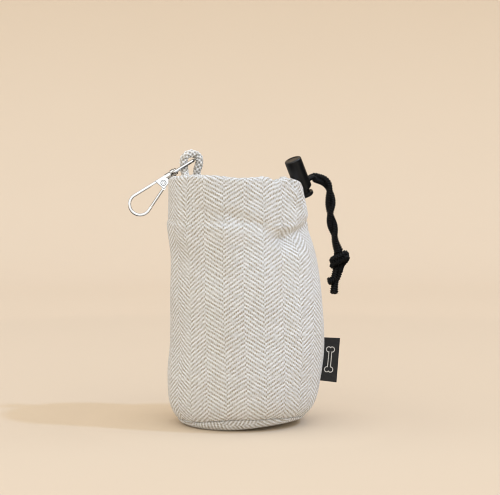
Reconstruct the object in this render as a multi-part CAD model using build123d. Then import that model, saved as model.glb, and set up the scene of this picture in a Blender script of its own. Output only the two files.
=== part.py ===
"""Drawstring treat pouch with a swivel snap hook on a cloth loop and a spring cord lock.

Millimetres, +Z up.  The origin is on the floor under the middle of the base, +X is the
side with the label and the cord lock, and -Y is the front.
"""
from build123d import *
import os
from math import cos, pi, radians, sin, tan

# Body: height, centre x and radius of the outer face, straight between the sections
BODY_SECTIONS = [
    (7.2, -0.7, 46.1),
    (17.0, 0.0, 48.5),
    (30.0, 0.5, 50.0),
    (57.0, 2.3, 49.8),
    (89.0, 1.0, 48.8),
    (120.0, -2.3, 45.5),
    (145.0, -4.3, 44.2),
    (160.0, -4.5, 43.5),
]
RIM_Z = BODY_SECTIONS[-1][0]
CLOTH = 1.2  # herringbone cloth
LAYER_GAP = 0.1
INTERLINING = 1.0
LINING = 0.35

# Base: a flat disc with a rounded edge that turns up to the wall panel
BASE_CENTRE_X = -0.7
BASE_FLAT_R = 39.6
BASE_EDGE_R = 6.5
BASE_TOP_Z = 7.2
PANEL_BOTTOM_Z = 7.8
BOARD = 3.0  # stiffening board in the base
BOARD_R = 40.4

# Drawstring channel round the mouth
CHANNEL_W = 4.6
HEM_BOTTOM_Z = 133.0
HEM_DEPTH = 2 * CLOTH + CHANNEL_W
FOLD = 1.4  # thickness of the cloth turned over at the rim
THREAD_R = 0.25

# Drawstring and cord lock
CORD_D = 3.2
STRAND_OFFSET = 1.67  # each strand's centre from the middle of the pair
LOCK_ANGLE = 35.0  # round the body from +X
LOCK_TILT = 25.5  # the strands rise outwards by this
EYELET_Z = 152.5
EYELET_BORE_R = 4.3
LOCK_STANDOFF = 10.0  # from the middle of the wall to the lock's bore
RING_R = 40.0
RING_GAP = 10.0  # half the ring's open angle at the eyelet
LEAD_BEND_R = 3.4
STRAND_START = 0.4  # where the free strands begin, out from the lock's bore

HOUSING_R = 5.8
HOUSING_L = 21.6
HOUSING_BELOW = 4.0  # housing below the bore's centre
PLUNGER_R = 4.6
RUNNING_GAP = 0.05
PRESS_TRAVEL = 3.0
SLOT_HALF_W = 3.6
SLOT_HALF_H = 1.95

# Cloth loop on the back left of the rim
LOOP_D = 4.4
LOOP_ROUTE = [
    (-36.3, 24.5, 154.5),
    (-36.3, 24.5, 161.5),
    (-40.2, 26.8, 167.5),
    (-40.2, 26.8, 176.2),
    (-29.6, 30.7, 176.2),
    (-29.6, 30.7, 167.5),
    (-29.3, 31.5, 161.5),
    (-29.3, 31.5, 154.5),
]
LOOP_BENDS = [3.0, 3.0, 5.1, 5.1, 3.0, 3.0]

# Swivel snap hook: x runs along it from the eye's bar, y towards the gate
CLIP_BAR = (-34.2, 29.1, 171.8)
CLIP_DROP = 31.5  # the hook points this far below level
EYE_WIRE_R = 1.1
EYE_HALF_W = 6.7
EYE_L = 16.0
BOSS_R = 2.6
STEM_R = 1.3
HOOK_LINE_Y = -0.7  # middle of the hook's straight back
HOOK_THICK = 2.0
HOOK_WIDE = 2.2
NOSE_CENTRE = (46.0, 6.4)
NOSE_R = 7.1
NOSE_TURN = 204.5
CHEEK_HALF = 2.0  # half the width of the block that holds the gate
GATE_SLOT_HALF = 1.1
RIVET = (24.9, 2.3)
RIVET_R = 0.8
RIVET_HEAD_R = 1.95
GATE_R = 0.9
GATE_REACH = 17.75
GATE_TIP_GAP = 0.3

# Side label, sewn into the right side of the wall
LABEL_W = 10.6
LABEL_H = 28.8
LABEL_T = 0.8
LABEL_CENTRE = (56.4, 0.0, 40.8)
LABEL_TILT = 5.0


def section_at(z):
    """Centre x and radius of the body's outer face at a height."""
    for (z0, x0, r0), (z1, x1, r1) in zip(BODY_SECTIONS, BODY_SECTIONS[1:]):
        if z <= z1:
            share = (z - z0) / (z1 - z0)
            return x0 + share * (x1 - x0), r0 + share * (r1 - r0)
    raise ValueError("above the rim")


def body_solid(inset, z0, z1):
    """The body between two heights, drawn in from its outer face by the inset."""
    between = [z for z, _, _ in BODY_SECTIONS if z0 + 0.3 < z < z1 - 0.3]
    rings = []
    for z in [z0, *between, z1]:
        x, r = section_at(z)
        rings.append(Pos(x, 0, z) * Circle(r - inset))
    return loft(rings, ruled=True)


def layer(inset, thickness, z0, z1):
    """One layer of the wall."""
    return body_solid(inset, z0, z1) - body_solid(inset + thickness, z0, z1)


def outward(angle):
    """Level unit vector at an angle round the body."""
    return Vector(cos(radians(angle)), sin(radians(angle)), 0)


def lathe(*outline):
    """Solid of revolution about Z from edges in the XZ plane."""
    return revolve(make_face(Plane.XZ * Curve(outline)), Axis.Z)


def turned(*points):
    """Solid of revolution about Z from corner points (radius, z)."""
    return revolve(make_face(Plane.XZ * Polyline(*points, close=True)), Axis.Z)


def tube(path, radius):
    """Round bar along a path."""
    return sweep(Plane(origin=path @ 0, z_dir=path % 0) * Circle(radius), path=path)


# Places and directions that several pieces share
OUT = outward(LOCK_ANGLE)
STRAND_DIR = OUT * cos(radians(LOCK_TILT)) + Vector(0, 0, sin(radians(LOCK_TILT)))
LOCK_AXIS = Vector(0, 0, cos(radians(LOCK_TILT))) - OUT * sin(radians(LOCK_TILT))
SIDE = LOCK_AXIS.cross(STRAND_DIR)
EYELET_X, EYELET_WALL_R = section_at(EYELET_Z)
EYELET = Vector(EYELET_X, 0, EYELET_Z) + OUT * (EYELET_WALL_R - CLOTH / 2)
LOCK_BORE = EYELET + STRAND_DIR * LOCK_STANDOFF
LOCK = Plane(origin=LOCK_BORE, x_dir=STRAND_DIR, z_dir=LOCK_AXIS)
CLIP = Plane(
    origin=CLIP_BAR,
    x_dir=(-cos(radians(CLIP_DROP)), 0, -sin(radians(CLIP_DROP))),
    z_dir=(0, -1, 0),
)
NOSE_END = NOSE_TURN - 90
GATE_DIR = Vector(-sin(radians(NOSE_END)), cos(radians(NOSE_END)), 0)
NOSE_ARC_END = Vector(*NOSE_CENTRE) + Vector(cos(radians(NOSE_END)), sin(radians(NOSE_END))) * NOSE_R

# Free strands: middle of the pair, from inside the lock over a hump and down to the knot
TAIL_ROUTE = [
    LOCK_BORE + STRAND_DIR * STRAND_START,
    LOCK_BORE + STRAND_DIR * 13.0,
    Vector(58.2, 40.0, 155.6),
    Vector(58.0, 38.3, 140.0),
    Vector(58.3, 37.4, 127.0),
    Vector(61.6, 36.6, 115.0),
    Vector(62.2, 36.975, 108.6),
]
KNOT_L = 15.0
KNOT_NECK_R = 3.9
KNOT_R = 6.6
LONG_END = [(0, 0, 0), (0, 0, 6.5), (-0.4, -0.6, 13.6)]
SHORT_END = [Vector(62.0, 36.4, 97.5), Vector(56.6, 36.0, 90.2)]


def outer_panel():
    wall = layer(0, CLOTH, PANEL_BOTTOM_Z, RIM_Z - FOLD - LAYER_GAP)
    hole = Plane(origin=EYELET, z_dir=OUT) * Cylinder(EYELET_BORE_R + 0.45, 12)
    return wall - hole


def hem_facing():
    """Inner wall of the channel, turned over at the rim and stitched to the wall below."""
    inner = layer(HEM_DEPTH - CLOTH, CLOTH, HEM_BOTTOM_Z, RIM_Z)
    fold = layer(0, HEM_DEPTH - CLOTH / 2, RIM_Z - FOLD, RIM_Z)
    web = layer(CLOTH + LAYER_GAP, CHANNEL_W + CLOTH / 2, HEM_BOTTOM_Z, HEM_BOTTOM_Z + FOLD)
    ring = inner + fold + web
    for x, y, z in (LOOP_ROUTE[0], LOOP_ROUTE[-1]):
        ring -= Pos(x, y, RIM_Z) * Cylinder(LOOP_D / 2 + LAYER_GAP, 8)
    return ring


def outer_base():
    centre = (BASE_FLAT_R, BASE_EDGE_R)
    inner_r = BASE_EDGE_R - CLOTH
    outer_x = BASE_FLAT_R + BASE_EDGE_R
    dish = lathe(
        Line((0, 0), (BASE_FLAT_R, 0)),
        CenterArc(centre, BASE_EDGE_R, -90, 90),
        Line((outer_x, BASE_EDGE_R), (outer_x, BASE_TOP_Z)),
        Line((outer_x, BASE_TOP_Z), (outer_x - CLOTH, BASE_TOP_Z)),
        Line((outer_x - CLOTH, BASE_TOP_Z), (outer_x - CLOTH, BASE_EDGE_R)),
        CenterArc(centre, inner_r, 0, -90),
        Line((BASE_FLAT_R, CLOTH), (0, CLOTH)),
        Line((0, CLOTH), (0, 0)),
    )
    return Pos(BASE_CENTRE_X, 0, 0) * dish


def base_layers():
    """Stiffening board and the lining's base on top of it."""
    board_z = CLOTH + LAYER_GAP
    board = Pos(BASE_CENTRE_X, 0, board_z + BOARD / 2) * Cylinder(BOARD_R, BOARD)
    lining_z = board_z + BOARD + LAYER_GAP
    lining_r = BODY_SECTIONS[0][2] - CLOTH - INTERLINING - 4 * LAYER_GAP - LINING
    lining = Pos(BASE_CENTRE_X, 0, lining_z + LINING / 2) * Cylinder(lining_r, LINING)
    return fillet(board.edges().filter_by(GeomType.CIRCLE), 0.8), lining


def thread_ring(z, r):
    x, _ = section_at(z)
    return Pos(x, 0, z) * Torus(r, THREAD_R)


def loop_bartacks():
    """Two short bars of close stitching that hold the loop's ends in the hem."""
    bars = []
    for x, y, _ in (LOOP_ROUTE[0], LOOP_ROUTE[-1]):
        z = LOOP_ROUTE[0][2] + 1.5
        centre_x, wall_r = section_at(z)
        away = Vector(x - centre_x, y, 0).normalized()
        seat = Vector(centre_x, 0, z) + away * (wall_r + 0.5)
        bar = Plane(origin=seat, x_dir=(0, 0, 1), z_dir=away) * Box(1.4, 6.0, 0.6)
        bars.append(fillet(bar.edges(), 0.25))
    return Compound(children=bars)


def clip_loop():
    return tube(FilletPolyline(*LOOP_ROUTE, radius=LOOP_BENDS), LOOP_D / 2)


def side_label():
    extra = 5.0  # stock that the wall trims off
    stock = Box(LABEL_W + extra, LABEL_T, LABEL_H)
    plate = fillet(stock.edges().filter_by(Axis.X), 0.3)
    x, y, z = LABEL_CENTRE
    plate = Pos(x - extra / 2, y, z) * Rot(0, LABEL_TILT, 0) * plate
    return plate - body_solid(-LAYER_GAP, PANEL_BOTTOM_Z, 100)


def eyelet():
    """Barrel with a rolled face flange outside the wall."""
    wall = CLOTH / 2
    flange = wall + 0.35  # clear of the wall's slope and curve
    inner = EYELET_BORE_R
    barrel = turned(
        (inner, -wall - 1.1), (inner + 0.3, -wall - 1.1), (inner + 0.3, flange),
        (inner + 2.0, flange), (inner + 1.8, flange + 0.6), (inner + 0.3, flange + 0.8),
        (inner, flange + 0.4),
    )
    return Plane(origin=EYELET, z_dir=OUT) * barrel


def eyelet_washer():
    inner = EYELET_BORE_R + 0.35
    washer = turned((inner, -1.55), (inner + 1.4, -1.55), (inner + 1.4, -1.2), (inner, -1.2))
    return Plane(origin=EYELET, z_dir=OUT) * washer


def drawstring_ring():
    """The cord inside the channel, with both leads out through the eyelet to the lock."""
    reach = RING_R * sin(radians(RING_GAP)) - STRAND_OFFSET
    corner_r = RING_R * cos(radians(RING_GAP)) + reach * tan(radians(RING_GAP))
    corner = EYELET - STRAND_DIR * (
        (EYELET_WALL_R - CLOTH / 2 - corner_r) / cos(radians(LOCK_TILT))
    )
    hub = Vector(EYELET_X, 0, corner.Z)
    start = LOCK_ANGLE + RING_GAP
    arc = Pos(hub.X, 0, hub.Z) * CenterArc((0, 0), RING_R, start, 360 - 2 * RING_GAP)
    cord = tube(arc, CORD_D / 2)
    for side in (1, -1):
        ring_end = hub + outward(LOCK_ANGLE + side * RING_GAP) * RING_R
        shift = SIDE * side * STRAND_OFFSET
        lead = FilletPolyline(ring_end, corner + shift, TAIL_ROUTE[0] + shift, radius=LEAD_BEND_R)
        cord += tube(lead, CORD_D / 2)
    return cord


def bend_radii(points):
    """Radius of the arc at each corner of a free cord's route."""
    radii = []
    for before, corner, after in zip(points, points[1:], points[2:]):
        run_in = corner - before
        run_out = after - corner
        run = min(run_in.length, run_out.length)
        radii.append(0.45 * run / tan(radians(run_in.get_angle(run_out)) / 2))
    return radii


def strand(side):
    points = [p + SIDE * side * STRAND_OFFSET for p in TAIL_ROUTE]
    radii = bend_radii(points)
    path = FilletPolyline(*points, radius=radii)
    solid = tube(path, CORD_D / 2)
    expected = pi * CORD_D**2 / 4 * path.length
    print("strand: bends", [round(r, 1) for r in radii], "length", round(path.length, 1))
    print("  volume", round(solid.volume, 1), "section x length", round(expected, 1))
    return solid


def knot_plane():
    last = TAIL_ROUTE[-1] - TAIL_ROUTE[-2]
    return Plane(origin=TAIL_ROUTE[-1], x_dir=SIDE, z_dir=last)


def knot():
    neck = KNOT_NECK_R
    body = lathe(
        Line((0, 0), (neck, 0)),
        ThreePointArc((neck, 0), (KNOT_R, 0.42 * KNOT_L), (neck, KNOT_L)),
        Line((neck, KNOT_L), (0, KNOT_L)),
        Line((0, KNOT_L), (0, 0)),
    )
    return knot_plane() * body


def long_end():
    path = FilletPolyline(*LONG_END, radius=bend_radii([Vector(*p) for p in LONG_END])[0])
    end = knot_plane() * Pos(STRAND_OFFSET, 0, KNOT_L) * tube(path, CORD_D / 2)
    return end


def short_end(knot_solid):
    return tube(Line(*SHORT_END), CORD_D / 2) - knot_solid


def swivel_eye():
    """Rectangular wire eye with a bored boss for the hook's stem."""
    path = FilletPolyline(
        (0, 0, -EYE_HALF_W), (0, 0, EYE_HALF_W), (EYE_L, 0, EYE_HALF_W),
        (EYE_L, 0, -EYE_HALF_W), radius=2.4, close=True,
    )
    wire = tube(path, EYE_WIRE_R)
    boss = Pos(EYE_L, 0, 0) * Rot(0, 90, 0) * Cylinder(BOSS_R, 2.8)
    boss = fillet(boss.edges().filter_by(GeomType.CIRCLE), 0.4)
    bore = Pos(EYE_L, 0, 0) * Rot(0, 90, 0) * Cylinder(STEM_R + RUNNING_GAP, 6)
    return CLIP * (wire + boss - bore)


def hook_stem():
    """Headed stem through the eye's boss, and the collar that joins it to the block."""
    head = turned((0, 12.9), (1.7, 12.9), (2.2, 13.4), (2.2, 14.45), (0, 14.45))
    stem = turned((0, 14.0), (STEM_R, 14.0), (STEM_R, 18.0), (0, 18.0))
    collar = turned((0, 17.55), (1.8, 17.55), (2.1, 17.9), (2.1, 21.6), (0, 21.6))
    return Rot(0, 90, 0) * (head + stem + collar)


def hook_block():
    """Block at the hook's end with two cheeks for the gate."""
    outline = make_face(
        Polyline((21.2, -1.7), (20.4, 3.9), (26.9, 6.2), (28.6, 0.5), (29.2, -1.7), close=True)
    )
    outline = fillet(outline.vertices().sort_by(Axis.X)[:3], 0.7)
    block = extrude(outline, CHEEK_HALF, both=True)
    return fillet(block.edges().filter_by(GeomType.LINE).group_by(Axis.Z)[-1], 0.35)


def hook_body():
    arc = CenterArc(NOSE_CENTRE, NOSE_R, -90, NOSE_TURN)
    tip = NOSE_ARC_END + GATE_DIR * 5.0
    back_start = (28.0, HOOK_LINE_Y)
    path = Line(back_start, (NOSE_CENTRE[0], HOOK_LINE_Y)) + arc + Line(NOSE_ARC_END, tip)
    section = Plane(origin=(*back_start, 0), x_dir=(0, 1, 0), z_dir=(1, 0, 0))
    bar = sweep(section * RectangleRounded(HOOK_THICK, HOOK_WIDE, 0.6), path=path)
    swing = Pos(*RIVET) * Cylinder(GATE_REACH + GATE_TIP_GAP, 10)
    bar -= swing & (Pos(36, 12, 0) * Box(14, 8, 10))
    slot = Box(11.0, 11.0, 2 * GATE_SLOT_HALF, align=(Align.MIN, Align.MIN, Align.CENTER))
    body = bar + hook_block() + hook_stem()
    body -= Pos(RIVET[0] - 2.6, RIVET[1] - 2.2, 0) * slot
    body -= Pos(*RIVET) * Cylinder(RIVET_R + 0.02, 10)
    return CLIP * body


def gate_rivet():
    half = CHEEK_HALF + 0.02
    rise = 0.5
    outline = [
        (0, -half - rise + 0.25), (0.8, -half - rise + 0.25), (1.0, -half - rise),
        (RIVET_HEAD_R - 0.4, -half - rise), (RIVET_HEAD_R, -half), (RIVET_R, -half),
        (RIVET_R, half), (RIVET_HEAD_R, half), (RIVET_HEAD_R - 0.4, half + rise),
        (1.0, half + rise), (0.8, half + rise - 0.25), (0, half + rise - 0.25),
    ]
    return CLIP * Pos(*RIVET) * turned(*outline)


def gate_lever():
    """Round bar with a forked root on the rivet."""
    root = NOSE_ARC_END + GATE_DIR * 18.0
    lobes = Sketch() + Pos(*RIVET) * Circle(2.0) + Pos(root.X, root.Y) * Circle(1.3)
    plate = extrude(make_hull(lobes.edges()), GATE_SLOT_HALF - 0.1, both=True)
    bar = tube(Line(root, root - GATE_DIR * 16.5), GATE_R)
    bar = bar & (Pos(*RIVET) * Cylinder(GATE_REACH, 10))
    gate = plate + bar
    gate -= Pos(*RIVET) * Cylinder(RIVET_R + RUNNING_GAP, 10)
    gate -= Pos(*RIVET) * Cylinder(1.75, 0.9)
    return CLIP * gate


def coil(radius, wire_r, height, turns):
    """Round wire wound about Z, starting at z = 0."""
    path = Helix(pitch=height / turns, height=height, radius=radius)
    return sweep(
        Plane(origin=path @ 0, z_dir=path % 0) * Circle(wire_r), path=path, is_frenet=True
    )


def gate_spring():
    wire_r = 0.14
    height = 0.56
    return CLIP * Pos(*RIVET, -height / 2) * coil(1.25, wire_r, height, 1.75)


def strand_slot(top, bottom, corner):
    """Cutter for the strands' slot, through the lock along its x."""
    height = top - bottom
    face = RectangleRounded(2 * SLOT_HALF_W, height, corner)
    side_view = Plane(origin=(0, 0, (top + bottom) / 2), x_dir=(0, 1, 0), z_dir=(1, 0, 0))
    return extrude(side_view * face, 10, both=True)


def lock_housing():
    bottom = -HOUSING_BELOW
    shell = Pos(0, 0, bottom + HOUSING_L / 2) * Cylinder(HOUSING_R, HOUSING_L)
    rims = shell.edges().filter_by(GeomType.CIRCLE).sort_by(Axis.Z)
    shell = fillet(rims[-1], 1.1)
    shell = chamfer(shell.edges().filter_by(GeomType.CIRCLE).sort_by(Axis.Z)[0], 0.3)
    room = HOUSING_L - 1.5
    shell -= Pos(0, 0, bottom + room / 2) * Cylinder(PLUNGER_R + RUNNING_GAP, room)
    shell -= Pos(0, 0, bottom + HOUSING_L) * Cylinder(3.6, 0.5)
    shell -= strand_slot(SLOT_HALF_H, -SLOT_HALF_H, SLOT_HALF_H - 0.01)
    return LOCK * shell


def lock_plunger():
    """Button flange with a lip, a waist, and the slotted barrel with its spring pocket."""
    body = turned(
        (0, -9.8), (4.6, -9.8), (5.2, -9.2), (5.2, -7.5), (4.9, -7.3), (4.5, -7.7),
        (3.4, -8.0), (3.4, -5.3), (PLUNGER_R, -4.9), (PLUNGER_R, 7.6), (PLUNGER_R - 0.4, 8.0),
        (3.6, 8.0), (3.6, 3.5), (0, 3.5),
    )
    body -= strand_slot(SLOT_HALF_H, -SLOT_HALF_H - PRESS_TRAVEL, 1.5)
    return LOCK * body


def lock_spring():
    wire_r = 0.25
    floor = 3.5
    ceiling = HOUSING_L - HOUSING_BELOW - 1.5
    height = ceiling - floor - 2 * wire_r - 0.1
    return LOCK * Pos(0, 0, floor + wire_r + 0.05) * coil(2.9, wire_r, height, 7)


board, lining_disc = base_layers()
knot_solid = knot()
inner_face_r = section_at(HEM_BOTTOM_Z + 1.2)[1] - HEM_DEPTH
lining_inset = CLOTH + INTERLINING + 2 * LAYER_GAP
PIECES = {
    "outer_panel": outer_panel(),
    "hem_facing": hem_facing(),
    "outer_base": outer_base(),
    "wall_interlining": layer(CLOTH + LAYER_GAP, INTERLINING, 8.2, HEM_BOTTOM_Z - 0.3),
    "base_board": board,
    "lining_wall": layer(lining_inset, LINING, 8.2, HEM_BOTTOM_Z - 0.3),
    "lining_base": lining_disc,
    "channel_stitching": thread_ring(HEM_BOTTOM_Z + 1.2, inner_face_r - THREAD_R - 0.05),
    "base_seam_stitching": thread_ring(7.5, BODY_SECTIONS[0][2] - CLOTH / 2),
    "clip_loop": clip_loop(),
    "loop_bartacks": loop_bartacks(),
    "side_label": side_label(),
    "eyelet": eyelet(),
    "eyelet_washer": eyelet_washer(),
    "drawstring_ring": drawstring_ring(),
    "drawstring_strand_front": strand(-1),
    "drawstring_strand_rear": strand(1),
    "drawstring_knot": knot_solid,
    "drawstring_end_long": long_end(),
    "drawstring_end_short": short_end(knot_solid),
    "swivel_eye": swivel_eye(),
    "hook_body": hook_body(),
    "gate_rivet": gate_rivet(),
    "gate_spring": gate_spring(),
    "gate_lever": gate_lever(),
    "lock_housing": lock_housing(),
    "lock_spring": lock_spring(),
    "lock_plunger": lock_plunger(),
}

os.makedirs("parts", exist_ok=True)
for name, solid in PIECES.items():
    export_step(solid, f"parts/{name}.step")
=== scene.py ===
"""Looks of the drawstring treat pouch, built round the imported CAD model.

Lengths in this script are millimetres unless a name ends in _m; meshes are written in metres.
Angles round the body run from +X towards +Y, so the front of the pouch is at -90 degrees.
"""
import bmesh
import bpy
import numpy as np
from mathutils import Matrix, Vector


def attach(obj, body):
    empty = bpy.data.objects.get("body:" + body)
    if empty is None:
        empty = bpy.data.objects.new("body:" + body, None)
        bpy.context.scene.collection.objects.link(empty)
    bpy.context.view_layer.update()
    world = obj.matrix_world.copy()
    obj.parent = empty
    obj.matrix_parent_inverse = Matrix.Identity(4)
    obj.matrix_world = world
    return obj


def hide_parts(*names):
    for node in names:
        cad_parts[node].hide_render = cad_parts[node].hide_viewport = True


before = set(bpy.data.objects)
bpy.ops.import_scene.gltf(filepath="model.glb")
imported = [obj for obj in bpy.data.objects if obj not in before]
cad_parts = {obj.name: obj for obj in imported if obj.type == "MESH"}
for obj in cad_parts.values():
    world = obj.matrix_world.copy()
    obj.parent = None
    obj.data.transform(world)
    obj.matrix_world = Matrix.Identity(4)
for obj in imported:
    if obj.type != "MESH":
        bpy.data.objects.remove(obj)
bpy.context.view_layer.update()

MM = 0.001
rng = np.random.default_rng(7)

# ---------------------------------------------------------------- body dimensions
# Height, centre x and radius of the wall's outer face, as in the CAD model
BODY_SECTIONS = np.array([
    (7.2, -0.7, 46.1),
    (17.0, 0.0, 48.5),
    (30.0, 0.5, 50.0),
    (57.0, 2.3, 49.8),
    (89.0, 1.0, 48.8),
    (120.0, -2.3, 45.5),
    (145.0, -4.3, 44.2),
    (160.0, -4.5, 43.5),
])
SEAM_Z = 7.5
HEM_Z = 133.0
HEM_DEPTH = 7.0  # outer face of the wall to the inner face of the turned-down hem
FOLD_RISE = 2.4  # height of the rolled edge
# Height of the rim, of the seam round the base, and of the base off the floor, by angle
RIM_PROFILE = [
    (-180, 161.6), (-150, 163.2), (-125, 164.2), (-114, 164.2), (-100, 163.2), (-87, 162.3),
    (-77, 162.9), (-69, 163.2), (-64, 163.1), (-59.5, 162.3), (-55, 160.1), (-50.5, 161.1),
    (-45, 162.2), (-37, 162.8), (-29, 161.6), (-19, 159.8), (-9, 157.8), (0, 156.6),
    (10, 156.6), (20, 157.4), (28, 158.8), (36, 160.2), (46, 159.6), (60, 158.4), (90, 159.2),
    (125, 160.0), (155, 160.6),
]
SEAM_PROFILE = [
    (-170, 4.7), (-145, 4.5), (-116, 6.6), (-100, 7.9), (-83, 8.4), (-50, 7.6), (-22, 6.6),
    (0, 6.6), (60, 7.4), (120, 7.0), (160, 5.4),
]
LIFT_PROFILE = [
    (-150, 0.0), (-120, 0.0), (-100, 0.5), (-85, 1.3), (-68, 2.3), (-50, 3.0), (-22, 3.2),
    (0, 2.3), (30, 0.7), (60, 0.0), (90, 0.0), (150, 0.0),
]
# How far the left and right sides stand out from the plain shape, by height
LEFT_PROFILE = np.array([
    (4, 1.0), (17, 1.2), (30, 0.8), (45, 0.7), (60, 0.8), (85, 0.8), (100, 0.3), (110, 0.3),
    (118, 0.9), (128, 1.6), (140, 1.2), (160, 1.2),
])
RIGHT_PROFILE = np.array([
    (4, -1.4), (17, -1.0), (24, -0.9), (35, -0.5), (45, 0.0), (62, 0.5), (75, 0.7), (95, 1.2),
    (110, 1.3), (118, 0.6), (128, 0.0), (140, -0.4), (150, -0.8), (160, -1.3),
])
BASE_FLAT_R = 39.6
BASE_EDGE_R = 6.5
BASE_X = -0.7
COLUMN_W = 13.0  # one stripe of the herringbone
# Height, and x of the line down the front where the herringbone's stripes are counted from
STRIPE_LINE = np.array([(5, 2.0), (25, 1.9), (40, 1.6), (60, 0.8), (86, 0.0), (130, -0.3), (160, -0.2)])
PICK = 0.7  # one weft thread
EYELET_ANGLE = 35.0
EYELET_Z = 152.5
EYELET_HOLE_R = 5.2

# ---------------------------------------------------------------- drawstring route
STRAND_R = 1.84  # with the fuzz of its braid
LOCK_ANGLE = np.radians(EYELET_ANGLE)
LOCK_TILT = np.radians(25.5)
OUT = np.array([np.cos(LOCK_ANGLE), np.sin(LOCK_ANGLE), 0])
STRAND_DIR = OUT * np.cos(LOCK_TILT) + np.array([0, 0, np.sin(LOCK_TILT)])
LOCK_AXIS = np.array([0, 0, np.cos(LOCK_TILT)]) - OUT * np.sin(LOCK_TILT)
SIDE = np.cross(LOCK_AXIS, STRAND_DIR)
EYELET = np.array([-4.4, 0, EYELET_Z]) + OUT * 43.25
LOCK_BORE = EYELET + STRAND_DIR * 10.0
TAIL_ROUTE = np.array([
    LOCK_BORE + STRAND_DIR * 0.4,
    LOCK_BORE + STRAND_DIR * 8.8,
    LOCK_BORE + STRAND_DIR * 10.8 - (0, 0, 1.0),
    (56.4, 39.0, 157.4),
    (58.6, 38.8, 146.0),
    (57.8, 38.2, 134.0),
    (61.0, 37.6, 123.0),
    (61.6, 37.2, 115.5),
    (64.2, 37.2, 109.5),
])
# Distance along the tail and how far the pair has turned about its middle there
TWIST = np.array([
    (0, 0), (9, 0), (12, 70), (17, 100), (32.5, 270), (40, 360), (48, 450), (57, 560), (75, 640),
])
STRAND_OFFSET = 1.66
PRESSED_OFFSET = 1.44  # where the twist pulls the two together

# Cloth loop, down into the hem at both ends
LOOP_ROUTE = np.array([
    (-38.6, 21.0, 154.5),
    (-38.8, 21.6, 159.5),
    (-39.9, 25.0, 163.6),
    (-40.6, 27.2, 168.6),
    (-40.8, 27.6, 173.2),
    (-37.6, 28.4, 176.4),
    (-33.1, 30.0, 176.4),
    (-30.0, 30.8, 172.9),
    (-30.4, 30.9, 169.0),
    (-32.1, 31.2, 164.5),
    (-32.0, 31.3, 160.5),
    (-31.4, 31.2, 154.5),
])
LOOP_R = 2.5
BEADS = 5.0  # half the beads round the loop

# The knot, from its middle: where the doubled cord goes and which way its two strands lie apart
KNOT_CENTRE = np.array([64.5, 37.0, 103.4])
KNOT_TURNS = np.array([
    ((-0.3, 0.2, 6.1), (1.0, 0.4, 0.0)),
    ((-0.6, 1.6, 2.6), (0.8, 0.5, 0.2)),
    ((-1.6, 2.8, -1.4), (0.4, 0.2, 0.9)),
    ((-4.8, 0.8, -2.2), (0.0, 0.3, 1.0)),
    ((-4.4, -2.3, 0.2), (-0.2, 0.0, 1.0)),
    ((0.4, -3.3, 2.0), (-0.3, 0.0, 1.0)),
    ((4.3, -1.6, 4.6), (-0.4, 0.3, 0.9)),
    ((5.0, 1.8, 2.2), (0.1, 0.5, 1.0)),
    ((1.8, 2.4, -2.4), (0.6, 0.2, 0.8)),
    ((-0.6, 0.6, -4.6), (1.0, 0.0, 0.3)),
    ((-1.2, -0.3, -7.2), (0.9, -0.4, 0.0)),
])
LONG_END_ROUTE = np.array([(65.0, 37.0, 98.6), (64.0, 37.2, 93.6), (61.2, 36.9, 89.0), (60.9, 36.6, 81.6)])
SHORT_END_ROUTE = np.array([(62.0, 36.0, 98.4), (61.2, 35.5, 93.0), (60.0, 35.2, 90.6), (56.9, 35.0, 89.6)])


# ---------------------------------------------------------------- camera
def add_camera():
    distance_m = 1.15
    height_m = 0.20
    data = bpy.data.cameras.new("camera")
    data.lens = 126.4
    data.sensor_width = 36.0
    data.clip_start = 0.05
    camera = bpy.data.objects.new("camera", data)
    camera.location = (0.0038, -distance_m, height_m)
    camera.rotation_euler = (np.radians(90 - 4.21), 0, 0)
    bpy.context.collection.objects.link(camera)
    bpy.context.scene.camera = camera


add_camera()


# ---------------------------------------------------------------- mesh helpers
def add_object(name, mesh):
    piece = bpy.data.objects.new(name, mesh)
    bpy.context.collection.objects.link(piece)
    return piece


def surface(name, points, closed=True, weave=None):
    """Mesh from a grid of points [row][column]; weave gives each point's place on the cloth."""
    rows, cols = points.shape[:2]
    mesh = bpy.data.meshes.new(name)
    spans = cols if closed else cols - 1
    i, j = np.meshgrid(np.arange(rows - 1), np.arange(spans), indexing="ij")
    i, j = i.ravel(), j.ravel()
    after = (j + 1) % cols
    faces = np.stack([i * cols + j, i * cols + after, (i + 1) * cols + after, (i + 1) * cols + j], 1)
    mesh.from_pydata((points.reshape(-1, 3) * MM).tolist(), [], faces.tolist())
    mesh.polygons.foreach_set("use_smooth", np.ones(len(faces), bool))
    if weave is not None:
        corners = np.stack([weave[i, j], weave[i, j + 1], weave[i + 1, j + 1], weave[i + 1, j]], 1)
        layer = mesh.uv_layers.new(name="weave")
        layer.data.foreach_set("uv", corners.reshape(-1))
    mesh.update()
    return add_object(name, mesh)


def apply_modifiers(piece):
    """Bakes the piece's modifiers into its mesh."""
    graph = bpy.context.evaluated_depsgraph_get()
    baked = bpy.data.meshes.new_from_object(piece.evaluated_get(graph), depsgraph=graph)
    piece.modifiers.clear()
    piece.data = baked
    return piece


def thicken(piece, thickness, offset=-1.0):
    solid = piece.modifiers.new("thickness", "SOLIDIFY")
    solid.thickness = thickness * MM
    solid.offset = offset
    solid.use_rim = True
    return apply_modifiers(piece)


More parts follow.
